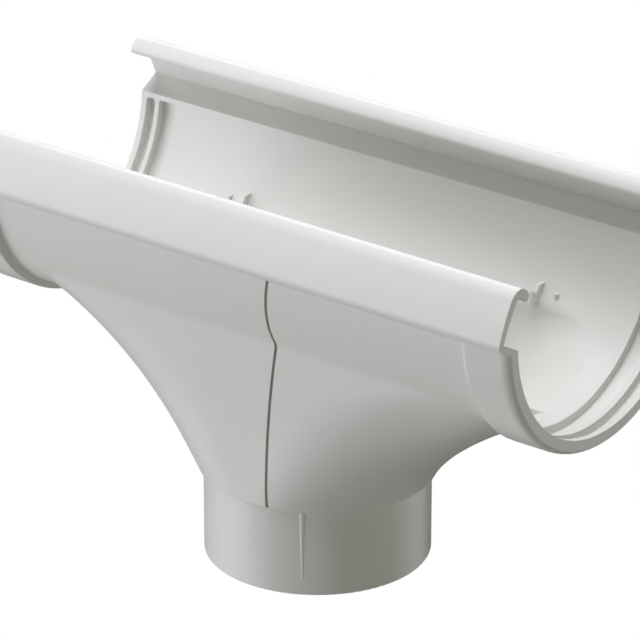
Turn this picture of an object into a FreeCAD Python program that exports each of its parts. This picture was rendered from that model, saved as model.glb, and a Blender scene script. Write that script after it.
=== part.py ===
import FreeCAD, Part
import math
import os

# Outlet of a half-round gutter line, moulded in one piece: an open trough with a socket for a
# gutter at each end, a trumpet-shaped funnel under its middle, and a spigot for the downpipe.
# X runs along the gutter, Y across it and Z up. The origin is the middle of the spigot's foot.

Vector = FreeCAD.Vector

# Overall length of the trough, and the thickness of its walls
trough_length = 246.4
wall = 2.4

# Spigot that goes into the downpipe
spigot_radius = 41.0
spigot_height = 33.0
spigot_foot_round = 0.6

# Channel that carries the water: its floor above the spigot, and its rim below its axis
channel_radius = 52.5
channel_floor_rise = 48.0
rim_drop = 3.5

# Rim along both sides: a sloping ledge, a leaning face and a curled lip with a round tip
ledge_width = 8.1
ledge_rise = 4.6
ledge_thickness = 2.7
face_rise = 11.7
face_lean = 8.8
face_bulge = 0.5
face_corner_round = 2.9
lip_radius = 5.3
lip_thickness = 3.0
lip_tip_angle = 20.0

# Socket at each end, with a cone up to it and two seats for a seal, a rib between them
socket_length = 20.6
socket_cone_length = 2.5
socket_cone_foot_round = 1.5
socket_cone_top_round = 1.0
socket_end_round_length = 3.4
socket_end_round_depth = 2.1
groove_depth = 3.0
end_strip = 2.45
outer_groove_width = 3.95
seal_rib_width = 2.1
inner_groove_width = 7.7
groove_below_rim = 2.0
groove_corner_round = 1.2

# Funnel: at its foot a little longer and wider than the spigot, and flared along the gutter
# on a curve whose last point lies past the trough's end by the overreach
funnel_foot_overhang = 2.2
funnel_foot_step = 0.3
funnel_top_half_width = 42.0
funnel_overreach = 31.9
# Height, spread and rounded share of the half length, at the flare's four control points
flare_heights = (0.0, 0.3, 0.8, 1.0)
flare_spreads = (0.0, 0.09, 0.49, 1.0)
flare_corners = (0.956, 0.61, 0.92, 0.44)
funnel_crease_round = 6.0
funnel_mouth_round = 6.0

# Seam line on the front, from the funnel's foot up to the ledge, bending away from the middle
seam_width = 1.1
seam_depth = 1.2
seam_foot_offset = 9.0
seam_top_offset = 20.6

# Hooks on both walls that stop a gutter's end, and a pip that marks how far it goes in. Both
# follow the level where the funnel's mouth meets the walls.
hook_offset = 65.95
hook_thickness = 1.5
hook_mouth_drop = 1.0
hook_height = 6.4
hook_inset = 1.6
hook_neck_rise = 5.2
hook_neck_outset = 0.7
hook_top_rise = 7.6
hook_top_outset = 2.5
pip_offset = 73.2
pip_thickness = 1.2
pip_mouth_rise = 2.2
pip_height = 2.3

# How far a tool runs past what it cuts, and how deep a funnel's top is buried in the trough
overrun = 5.0
bury = 1.5

half_length = trough_length / 2
outside_radius = channel_radius + wall
socket_radius = outside_radius + groove_depth
channel_floor = spigot_height + channel_floor_rise
channel_axis = channel_floor + channel_radius
rim_level = channel_axis - rim_drop
mouth_half_width = funnel_top_half_width - wall
mouth_level = channel_axis - math.sqrt(channel_radius ** 2 - mouth_half_width ** 2)

# Rim's main points across the gutter, on the +Y side
rim_root = Vector(0, math.sqrt(channel_radius ** 2 - rim_drop ** 2), rim_level)
rim_corner = rim_root + Vector(0, ledge_width, ledge_rise)
ledge_slope = (rim_corner - rim_root).normalize()
ledge_down = Vector(0, ledge_slope.z, -ledge_slope.y)


def turned(vector, angle):
    """Vector in the YZ plane, turned from +Y towards +Z by an angle in radians."""
    return Vector(0, vector.y * math.cos(angle) - vector.z * math.sin(angle),
                  vector.y * math.sin(angle) + vector.z * math.cos(angle))


def quarter_round(start, corner, end):
    """Quarter of an ellipse from start to end, touching the two lines that meet at corner."""
    curve = Part.BezierCurve()
    curve.setPoles([start, corner, end])
    curve.setWeight(2, math.sqrt(0.5))
    return curve.toShape()


def corner_arc(before, corner, after, radius):
    """Start, middle and end of an arc that rounds the corner between two straight lines."""
    arriving = (corner - before).normalize()
    leaving = (after - corner).normalize()
    half_turn = arriving.getAngle(leaving) / 2
    setback = radius * math.tan(half_turn)
    inward = (leaving - arriving).normalize()
    to_middle = radius * (1 / math.cos(half_turn) - 1)
    return [corner - arriving * setback, corner + inward * to_middle, corner + leaving * setback]


def disc(radius):
    """Full round section of the channel, of one radius."""
    circle = Part.makeCircle(radius, Vector(0, 0, channel_axis), Vector(1, 0, 0))
    return Part.Face(Part.Wire(circle))


def below_ledges():
    """Section that ends halfway into the ledges, under which the trough is built."""
    inner = rim_root + ledge_down * (ledge_thickness / 2)
    outer = inner + ledge_slope * (2 * ledge_width)
    points = [inner, outer, Vector(0, outer.y, 0)]
    mirrored = [Vector(0, -point.y, point.z) for point in reversed(points)]
    return Part.Face(Part.makePolygon(points + mirrored + [inner]))


def below_axis():
    """Section that ends at the channel's axis, for tools that cut the channel open."""
    width = 2 * socket_radius
    points = [Vector(0, -width, 0), Vector(0, width, 0), Vector(0, width, channel_axis),
              Vector(0, -width, channel_axis)]
    return Part.Face(Part.makePolygon(points + points[:1]))


def trough_prism(radius, start, end, limit):
    """Solid of round section from X start to X end, kept within a limiting section."""
    section = disc(radius).common(limit)
    section.translate(Vector(start, 0, 0))
    return section.Faces[0].extrude(Vector(end - start, 0, 0))


def ring(edges):
    """Profile of X and radius, drawn under the channel's axis, turned round that axis."""
    face = Part.Face(Part.Wire(edges))
    return face.revolve(Vector(0, 0, channel_axis), Vector(1, 0, 0), 360)


def offset_polygon(points, distance):
    """Control points of a curve in the XZ plane, moved to its left by a distance."""
    moved = []
    for index, point in enumerate(points):
        before = points[max(index - 1, 0)]
        after = points[min(index + 1, len(points) - 1)]
        legs = [leg for leg in (point - before, after - point) if leg.Length > 0]
        normals = [Vector(-leg.z, 0, leg.x).normalize() for leg in legs]
        middle = sum(normals, Vector()).normalize()
        moved.append(point + middle * (distance / middle.dot(normals[0])))
    return moved


def funnel_solid(inset):
    """Funnel with flat sides and flared ends, its skin moved inwards by an inset."""
    crease_drop = math.sqrt(outside_radius ** 2 - funnel_top_half_width ** 2)
    top = channel_axis - crease_drop + bury
    height = top - spigot_height
    foot_half_width = spigot_radius + funnel_foot_step
    foot_half_length = foot_half_width + funnel_foot_overhang
    draft = (funnel_top_half_width - foot_half_width) / height
    spread_length = half_length + funnel_overreach - foot_half_length

    ends = [
        Vector(foot_half_length + spread_length * spread, 0, spigot_height + height * rise)
        for rise, spread in zip(flare_heights, flare_spreads)
    ]
    corners = [end.x * share for end, share in zip(ends, flare_corners)]
    ends = offset_polygon(ends, inset)
    shrink = 1 - inset / foot_half_width
    rows = []
    for end, corner in zip(ends, corners):
        half_width = foot_half_width + draft * (end.z - spigot_height) - inset
        rows.append((end.x, corner * shrink, half_width, end.z))

    def quarter(side_x, side_y):
        poles = []
        for end_x, corner, half_width, z in rows:
            poles.append([
                Vector(side_x * end_x, 0, z),
                Vector(side_x * end_x, side_y * half_width, z),
                Vector(side_x * (end_x - corner), side_y * half_width, z),
            ])
        columns = [[row[index] for row in poles] for index in range(3)]
        weights = [[1.0] * 4, [math.sqrt(0.5)] * 4, [1.0] * 4]
        surface = Part.BSplineSurface()
        surface.buildFromPolesMultsKnots(
            columns, [3, 3], [4, 4], [0, 1], [0, 1], False, False, 2, 3, weights
        )
        return surface.toShape()

    skins = [quarter(x, y) for x in (1, -1) for y in (1, -1)]

    def side(side_y):
        curves = []
        for side_x in (1, -1):
            curve = Part.BezierCurve()
            curve.setPoles([
                Vector(side_x * (end_x - corner), side_y * half_width, z)
                for end_x, corner, half_width, z in rows
            ])
            curves.append(curve.toShape())
        lines = [
            Part.makeLine(curves[0].valueAt(at), curves[1].valueAt(at))
            for at in (0.0, 1.0)
        ]
        return Part.Face(Part.Wire(Part.__sortEdges__(curves + lines)))

    sides = [side(1), side(-1)]
    caps = []
    for end_x, corner, half_width, z in (rows[0], rows[-1]):
        rim = [edge for face in skins + sides for edge in face.Edges
               if abs(edge.BoundBox.ZMin - z) < 1e-6 and abs(edge.BoundBox.ZMax - z) < 1e-6]
        caps.append(Part.Face(Part.Wire(Part.__sortEdges__(rim))))
    shell = Part.Shell(skins + sides + caps)
    shell.sewShape()
    solid = Part.Solid(shell)
    if solid.Volume < 0:
        solid.reverse()
    reach = half_length - socket_length / 2
    limit = Part.makeBox(2 * reach, 4 * outside_radius, 2 * channel_axis)
    limit.translate(Vector(-reach, -2 * outside_radius, 0))
    return solid.common(limit)


def blend(trough, funnel, radius, crease_round):
    """Trough of one radius and funnel in one solid, with the crease between them rounded."""
    joined = trough.fuse(funnel).removeSplitter()
    crease = []
    for edge in joined.Edges:
        first, last = edge.ParameterRange
        points = [edge.valueAt(first + (last - first) * share) for share in (0.1, 0.5, 0.9)]
        on_trough = all(
            abs(math.hypot(p.y, p.z - channel_axis) - radius) < 1e-3
            and abs(p.x) < half_length - socket_length / 2
            and p.z < rim_level - overrun
            for p in points
        )
        if on_trough:
            crease.append(edge)
    return joined.makeFillet(crease_round, crease)


def rim_section():
    """Ledge, leaning face and curled lip on the +Y side, as a closed section."""
    lip_centre = rim_corner + Vector(0, -face_lean, face_rise)
    lip_inside = lip_radius - lip_thickness

    # Face: its inner line touches the inside of the lip, its outer line the outside
    to_lip = lip_centre - rim_corner
    turn = math.asin(lip_inside / to_lip.Length)
    outward = turned(turned(to_lip, -turn).normalize(), -math.pi / 2)
    inner_top = lip_centre + outward * lip_inside
    outer_top = lip_centre + outward * lip_radius

    # Round corner where the face's outer line meets the ledge's underside
    rise = (outer_top - rim_corner - outward * wall).normalize()
    start = rim_corner + ledge_down * ledge_thickness
    gap = rim_corner + outward * wall - start
    cross = ledge_slope.y * rise.z - ledge_slope.z * rise.y
    foot = start + ledge_slope * ((gap.y * rise.z - gap.z * rise.y) / cross)
    corner = corner_arc(start, foot, outer_top, face_corner_round)
    outer_bulge = (outer_top + corner[2]) / 2 + outward * face_bulge
    inner_bulge = (rim_corner + inner_top) / 2 + outward * face_bulge

    # Lip: from the face over its top to a round tip that stops short of level
    tip = turned(Vector(0, -1, 0), -math.radians(lip_tip_angle))
    tip_end = turned(tip, math.pi / 2)
    over = (outward + tip).normalize()
    tip_middle = lip_centre + tip * (lip_radius - lip_thickness / 2)

    ledge_start = rim_root - ledge_slope * wall
    web_start = ledge_start + ledge_down * ledge_thickness
    edges = [
        Part.makeLine(ledge_start, rim_corner),
        Part.Arc(rim_corner, inner_bulge, inner_top).toShape(),
        Part.Arc(inner_top, lip_centre + over * lip_inside,
                 lip_centre + tip * lip_inside).toShape(),
        Part.Arc(lip_centre + tip * lip_inside, tip_middle + tip_end * (lip_thickness / 2),
                 lip_centre + tip * lip_radius).toShape(),
        Part.Arc(lip_centre + tip * lip_radius, lip_centre + over * lip_radius,
                 outer_top).toShape(),
        Part.Arc(outer_top, outer_bulge, corner[2]).toShape(),
        Part.Arc(*reversed(corner)).toShape(),
        Part.makeLine(corner[0], web_start),
        Part.makeLine(web_start, ledge_start),
    ]
    return Part.Face(Part.Wire(edges))


def both_ends(solid):
    return [solid, solid.mirror(Vector(0, 0, 0), Vector(1, 0, 0))]


def both_sides(solid):
    return [solid, solid.mirror(Vector(0, 0, 0), Vector(0, 1, 0))]


def rims():
    """Rims of both sides, along the whole trough."""
    section = rim_section()
    section.translate(Vector(-half_length, 0, 0))
    return both_sides(section.extrude(Vector(trough_length, 0, 0)))


def profile_point(x, radius):
    return Vector(x, 0, channel_axis - radius)


def sockets():
    """Thicker ring round each end of the trough, with a well rounded outer edge."""
    start = half_length - socket_length
    buried = channel_radius + wall / 2
    # Cone from the trough up to the socket, rounded at its foot and at its top
    cone_foot = profile_point(start, outside_radius)
    cone_top = profile_point(start + socket_cone_length, socket_radius)
    foot = corner_arc(profile_point(0, outside_radius), cone_foot, cone_top,
                      socket_cone_foot_round)
    top = corner_arc(cone_foot, cone_top, profile_point(half_length, socket_radius),
                     socket_cone_top_round)
    end = [
        profile_point(half_length - socket_end_round_length, socket_radius),
        profile_point(half_length, socket_radius),
        profile_point(half_length, socket_radius - socket_end_round_depth),
    ]
    inner = [profile_point(half_length, buried), profile_point(foot[0].x, buried)]
    solid = ring([
        Part.Arc(*foot).toShape(),
        Part.makeLine(foot[2], top[0]),
        Part.Arc(*top).toShape(),
        Part.makeLine(top[2], end[0]),
        quarter_round(*end),
        Part.makeLine(end[2], inner[0]),
        Part.makeLine(inner[0], inner[1]),
        Part.makeLine(inner[1], foot[0]),
    ])
    limit = below_ledges().extrude(Vector(trough_length, 0, 0))
    return both_ends(solid.common(limit))


def seal_grooves():
    """Two seats for a seal inside each socket, which stop below the rim."""
    radius = channel_radius + groove_depth
    first_end = half_length - end_strip
    first_start = first_end - outer_groove_width
    second_end = first_start - seal_rib_width
    second_start = second_end - inner_groove_width
    groove_top = rim_level - groove_below_rim
    below = below_axis()
    cutters = []
    for start, end in ((first_start, first_end), (second_start, second_end)):
        cutter = trough_prism(radius, start, end, below)
        lid = Part.makeBox(end - start + 2 * overrun, 4 * radius, rim_drop + groove_below_rim)
        lid.translate(Vector(start - overrun, -2 * radius, groove_top))
        cutters.append(cutter.cut(lid))
    # Both top corners of the outer seat are round
    corners = [
        edge for edge in cutters[0].Edges
        if abs(edge.BoundBox.ZMin - groove_top) < 1e-6
        and abs(edge.BoundBox.ZMax - groove_top) < 1e-6
        and edge.BoundBox.XLength < 1e-6
    ]
    cutters[0] = cutters[0].makeFillet(groove_corner_round, corners)
    return both_ends(cutters[0]) + both_ends(cutters[1])


def seam_groove():
    """Tool for the seam line: a bent strip, less the body that lies deeper than the seam."""
    under_ledge = rim_root + ledge_down * ledge_thickness
    along = under_ledge.y * ledge_slope.y + (under_ledge.z - channel_axis) * ledge_slope.z
    miss = (under_ledge.y ** 2 + (under_ledge.z - channel_axis) ** 2 - outside_radius ** 2)
    reach = -along + math.sqrt(along ** 2 - miss)
    top = (under_ledge + ledge_slope * reach).z
    curves = []
    for shift in (-seam_width / 2, seam_width / 2):
        curve = Part.BezierCurve()
        curve.setPoles([
            Vector(seam_foot_offset + shift, 0, spigot_height),
            Vector(seam_foot_offset + shift, 0, (spigot_height + top) / 2),
            Vector(seam_top_offset + shift, 0, top),
        ])
        curves.append(curve.toShape())
    lines = [Part.makeLine(curves[0].valueAt(at), curves[1].valueAt(at)) for at in (0, 1)]
    strip = Part.Face(Part.Wire(Part.__sortEdges__(curves + lines)))
    strip = strip.extrude(Vector(0, -outside_radius - overrun, 0))
    deeper = trough_prism(outside_radius - seam_depth, -half_length, half_length, below_axis())
    core = blend(deeper, funnel_solid(seam_depth), outside_radius - seam_depth,
                 funnel_crease_round + seam_depth)
    spigot_core = Part.makeCylinder(spigot_radius - seam_depth, spigot_height + seam_depth)
    return strip.cut([core, spigot_core])


def wall_half_width(z):
    """Half width of the channel at a height."""
    return math.sqrt(channel_radius ** 2 - (channel_axis - z) ** 2)


def stops():
    """Hook and pip on each wall, near each end."""
    foot = mouth_level - hook_mouth_drop
    neck = foot + hook_neck_rise
    top = foot + hook_top_rise
    foot_y = wall_half_width(foot)
    corners = [
        Vector(0, foot_y + wall / 2, foot),
        Vector(0, foot_y - hook_inset, foot),
        Vector(0, foot_y - hook_inset, foot + hook_height),
        Vector(0, foot_y + hook_neck_outset, neck),
        Vector(0, foot_y + hook_top_outset, top),
        Vector(0, wall_half_width(top) + wall / 2, top),
    ]
    hook = Part.Face(Part.makePolygon(corners + corners[:1]))
    hook.translate(Vector(hook_offset - hook_thickness / 2, 0, 0))
    hook = hook.extrude(Vector(hook_thickness, 0, 0))
    pip_foot = mouth_level + pip_mouth_rise
    pip_y = wall_half_width(pip_foot)
    pip = Part.makeBox(pip_thickness, wall, pip_height,
                       Vector(pip_offset - pip_thickness / 2, pip_y, pip_foot))
    return [copy for piece in (hook, pip) for end in both_ends(piece)
            for copy in both_sides(end)]


def outlet_body():
    reach = half_length + overrun
    trough = trough_prism(outside_radius, -half_length, half_length, below_ledges())
    outside = blend(trough, funnel_solid(0), outside_radius, funnel_crease_round)
    spigot = Part.makeCylinder(spigot_radius, spigot_height + bury)
    foot_edges = [edge for edge in spigot.Edges if abs(edge.CenterOfMass.z) < 1e-6
                  and edge.BoundBox.XLength > spigot_radius]
    spigot = spigot.makeFillet(spigot_foot_round, foot_edges)
    solid = outside.fuse([spigot] + sockets() + rims())

    channel = trough_prism(channel_radius, -reach, reach, below_axis())
    void = blend(channel, funnel_solid(wall), channel_radius, funnel_mouth_round)
    bore = Part.makeCylinder(spigot_radius - wall, spigot_height + wall + overrun,
                             Vector(0, 0, -overrun))
    solid = solid.cut([void, bore, seam_groove()] + seal_grooves())
    return solid.fuse(stops()).removeSplitter()


def main():
    os.makedirs("parts", exist_ok=True)
    body = outlet_body()
    print("valid", body.isValid(), "solids", len(body.Solids), "volume", round(body.Volume))
    body.exportStep("parts/outlet_body.step")


main()
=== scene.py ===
import math

import bmesh
import bpy
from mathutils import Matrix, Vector


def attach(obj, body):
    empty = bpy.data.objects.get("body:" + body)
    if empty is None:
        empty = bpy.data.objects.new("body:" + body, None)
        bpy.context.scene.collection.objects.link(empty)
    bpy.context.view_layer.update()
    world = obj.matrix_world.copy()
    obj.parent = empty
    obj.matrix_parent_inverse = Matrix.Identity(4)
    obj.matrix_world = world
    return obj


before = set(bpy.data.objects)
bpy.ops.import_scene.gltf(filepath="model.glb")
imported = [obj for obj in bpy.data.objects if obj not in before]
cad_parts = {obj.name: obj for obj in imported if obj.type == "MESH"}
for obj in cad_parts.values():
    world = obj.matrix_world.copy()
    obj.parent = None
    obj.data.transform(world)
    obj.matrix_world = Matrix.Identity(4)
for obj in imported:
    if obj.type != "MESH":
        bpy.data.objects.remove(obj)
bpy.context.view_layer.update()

# Looks of a gutter outlet in white plastic, in front of white under soft studio light. Lengths
# are metres and angles are degrees. Azimuth 0 is the front, -Y, and 90 is the right end, +X.

scene = bpy.context.scene
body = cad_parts["outlet_body"]

# Camera: where it looks, from which side and how far away, with a long lens
camera_target = Vector((-0.01959, 0.02671, 0.07358))
camera_azimuth = 37.65
camera_elevation = 24.25
camera_distance = 1.679
camera_lens = 261.2

# Soft lights: name, azimuth, elevation, power in watts and colour. The low ones stand for what a
# white table throws back.
light_distance = 2.0
light_width = 1.4
soft_lights = (
    ("top", 0, 88, 37.2, (0.98, 0.98, 1.0)),
    ("back_left", -150, 28, 14.0, (0.92, 0.95, 1.0)),
    ("left", -60, 28, 10.8, (1.0, 1.0, 1.0)),
    ("low_left", -45, -2, 13.2, (0.97, 0.97, 1.0)),
    ("low_right", 90, -2, 6.4, (1.0, 0.94, 0.82)),
    ("under_back", 150, -28, 7.2, (0.95, 1.0, 1.0)),
    ("under_right", 30, -28, 5.6, (0.94, 1.0, 0.88)),
    ("under_front", -30, -28, 5.6, (0.94, 0.94, 1.0)),
    ("under_left", -60, -28, 5.6, (0.94, 0.94, 1.0)),
    ("deep_left", -90, -62, 4.4, (1.0, 1.0, 0.92)),
)

# Floor that stays white
floor_size = 60.0
floor_glow = 1.0

# White plastic: colour, and how much it varies over the surface
plastic_colour = (0.80, 0.80, 0.775)
shade_change = 0.02
shade_grain = 45.0
shade_detail = 3
gloss_roughness = 0.38
gloss_change = 0.05
gloss_grain = 160.0
gloss_detail = 4
plastic_ior = 1.53
ripple_grain = 70.0
ripple_height = 0.00003
texture_grain = 2600.0
texture_height = 0.000004
bump_detail = 2
edge_round = 0.0004
edge_samples = 4

# Painted shade in the seam's groove on the front: the darker colour painted there for shade, where
# the bent line starts and ends as x and z, half its width, how far forward it lies, and how far its
# faces may turn to the back
seam_painted_shade_colour = (0.61, 0.60, 0.55)
seam_foot = (0.0090, 0.033)
seam_top = (0.0206, 0.1284)
seam_half_width = 0.00062
seam_front = -0.030
seam_most_turned = 0.3

# Crush ribs round the spigot, wide and high at the funnel and tapering downwards. Their angles
# turn from +X towards +Y.
rib_count = 3
rib_first_angle = -60.0
rib_top = 0.0336
rib_length = 0.0272
rib_top_half_width = 0.0013
rib_foot_half_width = 0.0004
rib_top_height = 0.00045
rib_foot_height = 0.00012
rib_rings = 12
rib_steps = 12
rib_sunk = 0.0005
rib_edge_power = 8
spigot_radius = 0.041

# Low upright webs at both ends of the funnel's mouth: about level with the trough's floor on top,
# and sunk into the slope below, which falls from a place on it towards the spigot. The shoulder
# of the rounded top is a share of the half width.
web_nose_start = 0.0985
web_nose_end = (0.1003, 0.0808)
web_inner_end = 0.086
web_top = 0.0812
web_corner_round = 0.003
web_corner_steps = 6
web_half_width = 0.0006
web_edge_drop = 0.0002
web_shoulder = 0.6
web_shoulder_drop = web_edge_drop / 4
web_highest_bottom = 0.0798
slope_place = (0.096, 0.07987)
slope_fall = 0.5875
slope_sunk = 0.001

# Edges of the ribs and webs that turn by more than this stay sharp
sharp_angle = 40.0


def from_side(azimuth, elevation):
    """Direction from the object to a place at an azimuth and elevation."""
    turn = math.radians(azimuth)
    rise = math.radians(elevation)
    return Vector((math.sin(turn) * math.cos(rise), -math.cos(turn) * math.cos(rise),
                   math.sin(rise)))


def aim(thing, back, distance):
    """Put a camera or light at a distance in one direction, facing the target."""
    thing.location = camera_target + back * distance
    thing.rotation_mode = "QUATERNION"
    thing.rotation_quaternion = (-back).to_track_quat("-Z", "Y")
    scene.collection.objects.link(thing)


def add_camera():
    camera = bpy.data.objects.new("camera", bpy.data.cameras.new("camera"))
    camera.data.lens = camera_lens
    aim(camera, from_side(camera_azimuth, camera_elevation), camera_distance)
    scene.camera = camera


def add_lights():
    for name, azimuth, elevation, power, colour in soft_lights:
        data = bpy.data.lights.new(name, "AREA")
        data.size = light_width
        data.energy = power
        data.color = colour
        light = bpy.data.objects.new(name, data)
        aim(light, from_side(azimuth, elevation), light_distance)


def add_world():
    """No light from the surroundings: the soft lights do it all."""
    world = bpy.data.worlds.new("studio")
    world.use_nodes = True
    world.node_tree.nodes["Background"].inputs["Strength"].default_value = 0.0
    scene.world = world


def add_floor():
    """White floor that only the camera sees, so that it blocks none of the low lights."""
    half = floor_size / 2
    mesh = bpy.data.meshes.new("floor")
    corners = [(-half, -half, 0), (half, -half, 0), (half, half, 0), (-half, half, 0)]
    mesh.from_pydata(corners, [], [(0, 1, 2, 3)])
    floor = bpy.data.objects.new("floor", mesh)
    scene.collection.objects.link(floor)
    material = bpy.data.materials.new("floor_white")
    material.use_nodes = True
    tree = material.node_tree
    tree.nodes.clear()
    output = tree.nodes.new("ShaderNodeOutputMaterial")
    glow = tree.nodes.new("ShaderNodeEmission")
    glow.inputs["Strength"].default_value = floor_glow
    tree.links.new(glow.outputs[0], output.inputs["Surface"])
    mesh.materials.append(material)
    floor.visible_diffuse = False
    floor.visible_glossy = False
    floor.visible_transmission = False
    floor.visible_shadow = False


class Nodes:
    """Short ways to add and link the nodes of one material."""

    def __init__(self, tree):
        self.tree = tree
        self.place = tree.nodes.new("ShaderNodeTexCoord").outputs["Object"]

    def link(self, source, target):
        self.tree.links.new(source, target)

    def fill(self, socket, value):
        """Set a socket to a number or colour, or link another socket to it."""
        if isinstance(value, bpy.types.NodeSocket):
            self.link(value, socket)
        else:
            socket.default_value = value

    def math(self, operation, *values):
        node = self.tree.nodes.new("ShaderNodeMath")
        node.operation = operation
        for socket, value in zip(node.inputs, values):
            self.fill(socket, value)
        return node.outputs[0]

    def noise(self, scale, detail):
        node = self.tree.nodes.new("ShaderNodeTexNoise")
        node.inputs["Scale"].default_value = scale
        node.inputs["Detail"].default_value = detail
        self.link(self.place, node.inputs["Vector"])
        return node.outputs[0]

    def ramp(self, value, low, high):
        """Value from 0 to 1, spread from low to high."""
        node = self.tree.nodes.new("ShaderNodeMapRange")
        node.inputs["To Min"].default_value = low
        node.inputs["To Max"].default_value = high
        self.link(value, node.inputs["Value"])
        return node.outputs["Result"]

    def mix(self, share, first, second):
        """Colour between two colours."""
        node = self.tree.nodes.new("ShaderNodeMix")
        node.data_type = "RGBA"
        self.fill(node.inputs["Factor"], share)
        self.fill(node.inputs["A"], first)
        self.fill(node.inputs["B"], second)
        return node.outputs["Result"]

    def bump(self, height, distance, normal):
        node = self.tree.nodes.new("ShaderNodeBump")
        node.inputs["Distance"].default_value = distance
        self.link(height, node.inputs["Height"])
        self.link(normal, node.inputs["Normal"])
        return node.outputs[0]


def seam_painted_shade_share(nodes):
    """1 on the floor and sides of the seam's groove, where shade is painted, and 0 elsewhere."""
    split = nodes.tree.nodes.new("ShaderNodeSeparateXYZ")
    nodes.link(nodes.place, split.inputs[0])
    x, y, z = split.outputs
    facing = nodes.tree.nodes.new("ShaderNodeSeparateXYZ")
    geometry = nodes.tree.nodes.new("ShaderNodeNewGeometry")
    nodes.link(geometry.outputs["Normal"], facing.inputs[0])

    rise = nodes.math("DIVIDE", nodes.math("SUBTRACT", z, seam_foot[1]), seam_top[1] - seam_foot[1])
    bend = nodes.math("MULTIPLY", nodes.math("MULTIPLY", rise, rise), seam_top[0] - seam_foot[0])
    aside = nodes.math("SUBTRACT", nodes.math("SUBTRACT", x, bend), seam_foot[0])
    near = nodes.math("LESS_THAN", nodes.math("ABSOLUTE", aside), seam_half_width)
    front = nodes.math("LESS_THAN", y, seam_front)
    outer = nodes.math("LESS_THAN", facing.outputs["Y"], seam_most_turned)
    above = nodes.math("GREATER_THAN", rise, 0.0)
    below = nodes.math("LESS_THAN", rise, 1.0)
    share = near
    for condition in (front, outer, above, below):
        share = nodes.math("MULTIPLY", share, condition)
    return share


def white_plastic():
    """Injection-moulded white plastic: a little warm, half gloss, faintly rippled and uneven, with
    shade painted darker into the seam's groove.
    """
    material = bpy.data.materials.new("white_plastic")
    material.use_nodes = True
    tree = material.node_tree
    shader = tree.nodes["Principled BSDF"]
    shader.inputs["IOR"].default_value = plastic_ior
    nodes = Nodes(tree)

    darker = [value * (1 - shade_change) for value in plastic_colour]
    lighter = [value * (1 + shade_change) for value in plastic_colour]
    colour = nodes.mix(nodes.noise(shade_grain, shade_detail), (*darker, 1), (*lighter, 1))
    # Painted shade: the seam's groove is coloured darker to stand for the shade in it
    colour = nodes.mix(seam_painted_shade_share(nodes), colour, (*seam_painted_shade_colour, 1))
    nodes.link(colour, shader.inputs["Base Color"])

    gloss = nodes.ramp(nodes.noise(gloss_grain, gloss_detail), gloss_roughness - gloss_change,
                       gloss_roughness + gloss_change)
    nodes.link(gloss, shader.inputs["Roughness"])

    rounded = tree.nodes.new("ShaderNodeBevel")
    rounded.samples = edge_samples
    rounded.inputs["Radius"].default_value = edge_round
    ripples = nodes.noise(ripple_grain, bump_detail)
    rippled = nodes.bump(ripples, ripple_height, rounded.outputs[0])
    texture = nodes.noise(texture_grain, bump_detail)
    textured = nodes.bump(texture, texture_height, rippled)
    nodes.link(textured, shader.inputs["Normal"])
    return material


def skin(name, rings, material):
    """Closed piece over rings of points, with a flat face at each end, that rides on the body."""
    width = len(rings[0])
    faces = [tuple(range(width)), tuple(range((len(rings) - 1) * width, len(rings) * width))]
    for ring in range(len(rings) - 1):
        for step in range(width):
            after = (step + 1) % width
            here = ring * width
            beyond = here + width
            faces.append((here + after, here + step, beyond + step, beyond + after))
    mesh = bpy.data.meshes.new(name)
    mesh.from_pydata([point for ring in rings for point in ring], [], faces)
    outward = bmesh.new()
    outward.from_mesh(mesh)
    bmesh.ops.recalc_face_normals(outward, faces=outward.faces)
    outward.to_mesh(mesh)
    outward.free()
    mesh.shade_smooth()
    mesh.set_sharp_from_angle(angle=math.radians(sharp_angle))
    mesh.materials.append(material)
    piece = bpy.data.objects.new(name, mesh)
    scene.collection.objects.link(piece)
    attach(piece, "root")


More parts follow.
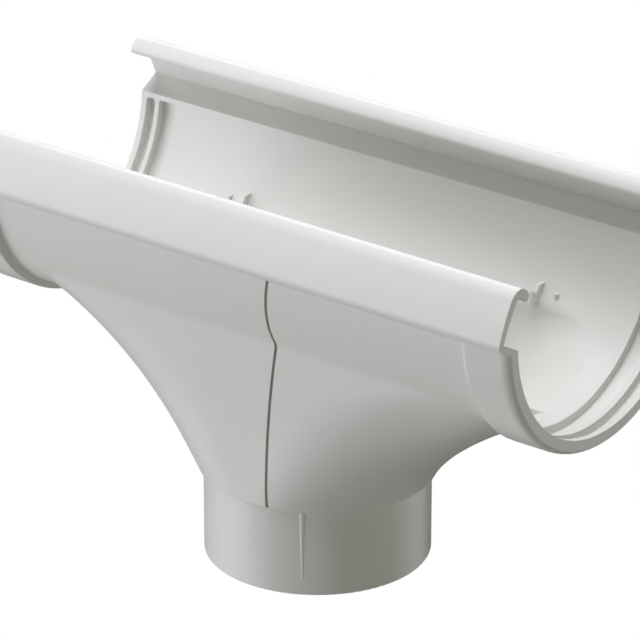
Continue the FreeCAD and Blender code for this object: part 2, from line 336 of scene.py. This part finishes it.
def spigot_rib(name, angle, material):
    """Ridge on the spigot's wall at one angle, with a rounded crest."""
    outward = Vector((math.cos(angle), math.sin(angle), 0))
    sideways = Vector((-math.sin(angle), math.cos(angle), 0))
    rings = []
    for ring in range(rib_rings + 1):
        fall = ring / rib_rings
        half_width = rib_top_half_width + (rib_foot_half_width - rib_top_half_width) * fall
        height = rib_top_height + (rib_foot_height - rib_top_height) * fall
        level = Vector((0, 0, rib_top - rib_length * fall))
        points = []
        for step in range(rib_steps + 1):
            across = 2 * step / rib_steps - 1
            sunk = rib_sunk * abs(across) ** rib_edge_power
            radius = spigot_radius + height * (1 - across ** 2) - sunk
            points.append(level + outward * radius + sideways * (half_width * across))
        points.append(level + outward * (spigot_radius - 2 * rib_sunk))
        rings.append(points)
    skin(name, rings, material)


def add_spigot_ribs(material):
    for index in range(rib_count):
        angle = math.radians(rib_first_angle + 360.0 * index / rib_count)
        spigot_rib(f"spigot_rib_{index + 1}", angle, material)


def mouth_web(name, side, material):
    """Web on the middle plane at one end of the mouth, with a rounded top and inner corner."""
    tops = []
    for step in range(web_corner_steps + 1):
        turn = math.radians(90 * (1 - step / web_corner_steps))
        tops.append((web_inner_end + web_corner_round * (1 - math.sin(turn)),
                     web_top - web_corner_round * (1 - math.cos(turn))))
    tops.append((web_nose_start, web_top))
    tops.append(web_nose_end)
    rings = []
    for x, top in tops:
        slope = slope_place[1] - slope_fall * (slope_place[0] - x)
        bottom = min(slope - slope_sunk, web_highest_bottom)
        edge = top - web_edge_drop
        shoulder = top - web_shoulder_drop
        section = [(-1, bottom), (-1, edge), (-web_shoulder, shoulder), (0, top),
                   (web_shoulder, shoulder), (1, edge), (1, bottom)]
        rings.append([Vector((side * x, across * web_half_width, z)) for across, z in section])
    skin(name, rings, material)


def add_mouth_webs(material):
    mouth_web("mouth_web_right", 1, material)
    mouth_web("mouth_web_left", -1, material)


scene.view_settings.view_transform = "Standard"
add_camera()
add_world()
add_lights()
add_floor()
plastic = white_plastic()
body.data.materials.clear()
body.data.materials.append(plastic)
add_spigot_ribs(plastic)
add_mouth_webs(plastic)
